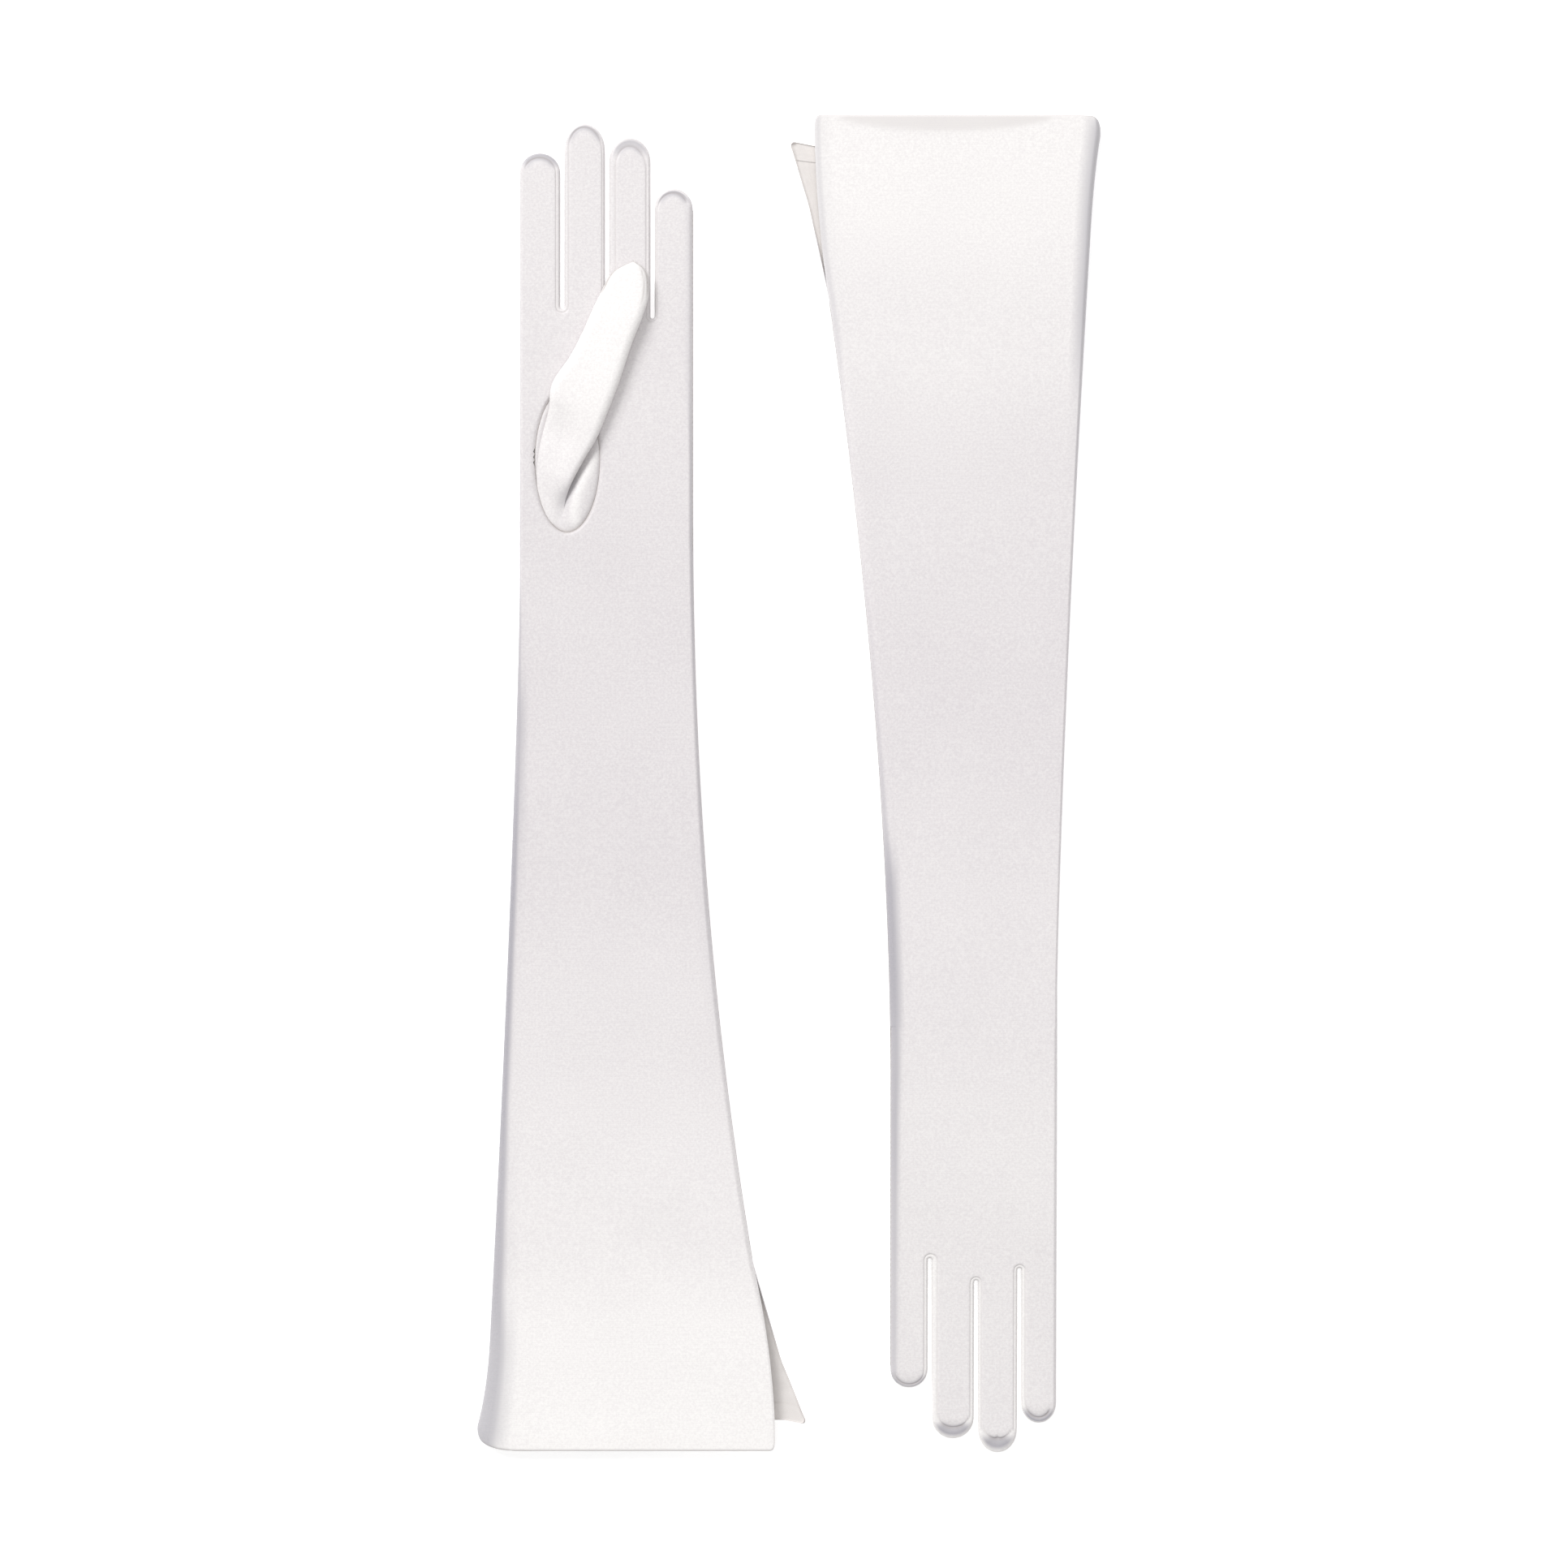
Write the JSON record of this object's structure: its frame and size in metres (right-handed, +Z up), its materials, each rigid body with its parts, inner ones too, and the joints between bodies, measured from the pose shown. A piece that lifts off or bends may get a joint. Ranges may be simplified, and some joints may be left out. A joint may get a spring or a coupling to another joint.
{
  "type": "opera gloves",
  "caption": "Pair of long satin opera gloves laid flat, one palm up and one palm down, with set-in thumbs and vented hems.",
  "frame": {"origin": "centre of the pair's bounding box, on the surface that the pair lies on", "axes": "+Z up from the surface, +Y along the gloves towards the left glove's fingertips and the right glove's hem, +X from the left glove to the right glove"},
  "size_m": [0.2814, 0.6036, 0.012],
  "materials": {
    "satin": "ivory-white stretch satin, soft sheen",
    "satin_wrong_side": "dull wrong side of the satin",
    "thread": "matt sewing thread"
  },
  "bodies": {
    "left_upper_arm": {"left_upper_sleeve": "satin", "left_turned_hem": "satin_wrong_side", "left_upper_seam_thread": "thread"},
    "left_forearm": {"left_forearm_sleeve": "satin", "left_forearm_seam_thread": "thread"},
    "left_palm": {"left_hand": "satin", "left_fourchette_index_middle": "satin", "left_fourchette_middle_ring": "satin", "left_fourchette_ring_little": "satin", "left_hand_seam_thread": "thread", "left_thumb_base": "satin", "left_thumb_seam_thread": "thread"},
    "left_index": {"left_index_finger": "satin", "left_index_fourchette_to_middle": "satin"},
    "left_middle": {"left_middle_finger": "satin", "left_middle_fourchette_to_index": "satin", "left_middle_fourchette_to_ring": "satin"},
    "left_ring": {"left_ring_finger": "satin", "left_ring_fourchette_to_middle": "satin", "left_ring_fourchette_to_little": "satin"},
    "left_little": {"left_little_finger": "satin", "left_little_fourchette_to_ring": "satin", "left_little_seam_thread": "thread"},
    "left_thumb": {"left_thumb": "satin"},
    "right_upper_arm": {"right_upper_sleeve": "satin", "right_turned_hem": "satin_wrong_side", "right_upper_seam_thread": "thread"},
    "right_forearm": {"right_forearm_sleeve": "satin", "right_forearm_seam_thread": "thread"},
    "right_palm": {"right_hand": "satin", "right_fourchette_index_middle": "satin", "right_fourchette_middle_ring": "satin", "right_fourchette_ring_little": "satin", "right_hand_seam_thread": "thread", "right_thumb_base": "satin", "right_thumb_seam_thread": "thread"},
    "right_index": {"right_index_finger": "satin", "right_index_fourchette_to_middle": "satin"},
    "right_middle": {"right_middle_finger": "satin", "right_middle_fourchette_to_index": "satin", "right_middle_fourchette_to_ring": "satin"},
    "right_ring": {"right_ring_finger": "satin", "right_ring_fourchette_to_middle": "satin", "right_ring_fourchette_to_little": "satin"},
    "right_little": {"right_little_finger": "satin", "right_little_fourchette_to_ring": "satin", "right_little_seam_thread": "thread"},
    "right_thumb": {"right_thumb": "satin"}
  },
  "joints": [
    {"name": "left_elbow_bend", "type": "hinge", "parent": "left_upper_arm", "child": "left_forearm", "pos_m": [-0.083, -0.15055, 0.0076], "axis": [1, 0, 0], "range_deg": [0, 140]},
    {"name": "left_wrist_bend", "type": "hinge", "parent": "left_forearm", "child": "left_palm", "pos_m": [-0.083, 0.08945, 0.0058], "axis": [1, 0, 0], "range_deg": [0, 70]},
    {"name": "left_index_bend", "type": "hinge", "parent": "left_palm", "child": "left_index", "pos_m": [-0.11275, 0.24145, 0.0058], "axis": [1, 0, 0], "range_deg": [0, 90]},
    {"name": "left_middle_bend", "type": "hinge", "parent": "left_palm", "child": "left_middle", "pos_m": [-0.09255, 0.24145, 0.0058], "axis": [1, 0, 0], "range_deg": [0, 90]},
    {"name": "left_ring_bend", "type": "hinge", "parent": "left_palm", "child": "left_ring", "pos_m": [-0.07215, 0.24145, 0.0058], "axis": [1, 0, 0], "range_deg": [0, 90]},
    {"name": "left_little_bend", "type": "hinge", "parent": "left_palm", "child": "left_little", "pos_m": [-0.0523, 0.24145, 0.0058], "axis": [1, 0, 0], "range_deg": [0, 90]},
    {"name": "left_thumb_swing", "type": "hinge", "parent": "left_palm", "child": "left_thumb", "pos_m": [-0.1003, 0.14445, 0.0061], "axis": [0, 0, 1], "range_deg": [-10, 65]},
    {"name": "right_glove_lift", "type": "slide", "parent": "left_upper_arm", "child": "right_upper_arm", "axis": [0, 0, 1], "range_m": [0, 0.3]},
    {"name": "right_elbow_bend", "type": "hinge", "parent": "right_upper_arm", "child": "right_forearm", "pos_m": [0.083, 0.14725, 0.0076], "axis": [-1, 0, 0], "range_deg": [0, 140]},
    {"name": "right_wrist_bend", "type": "hinge", "parent": "right_forearm", "child": "right_palm", "pos_m": [0.083, -0.09275, 0.012], "axis": [-1, 0, 0], "range_deg": [0, 60]},
    {"name": "right_index_bend", "type": "hinge", "parent": "right_palm", "child": "right_index", "pos_m": [0.1126, -0.24475, 0.012], "axis": [-1, 0, 0], "range_deg": [0, 90]},
    {"name": "right_middle_bend", "type": "hinge", "parent": "right_palm", "child": "right_middle", "pos_m": [0.094, -0.24475, 0.012], "axis": [-1, 0, 0], "range_deg": [0, 90]},
    {"name": "right_ring_bend", "type": "hinge", "parent": "right_palm", "child": "right_ring", "pos_m": [0.0738, -0.24475, 0.012], "axis": [-1, 0, 0], "range_deg": [0, 90]},
    {"name": "right_little_bend", "type": "hinge", "parent": "right_palm", "child": "right_little", "pos_m": [0.054, -0.24475, 0.012], "axis": [-1, 0, 0], "range_deg": [0, 90]},
    {"name": "right_thumb_swing", "type": "hinge", "parent": "right_palm", "child": "right_thumb", "pos_m": [0.0989, -0.14775, 0.0061], "axis": [0, 0, 1], "range_deg": [-10, 65]}
  ]
}
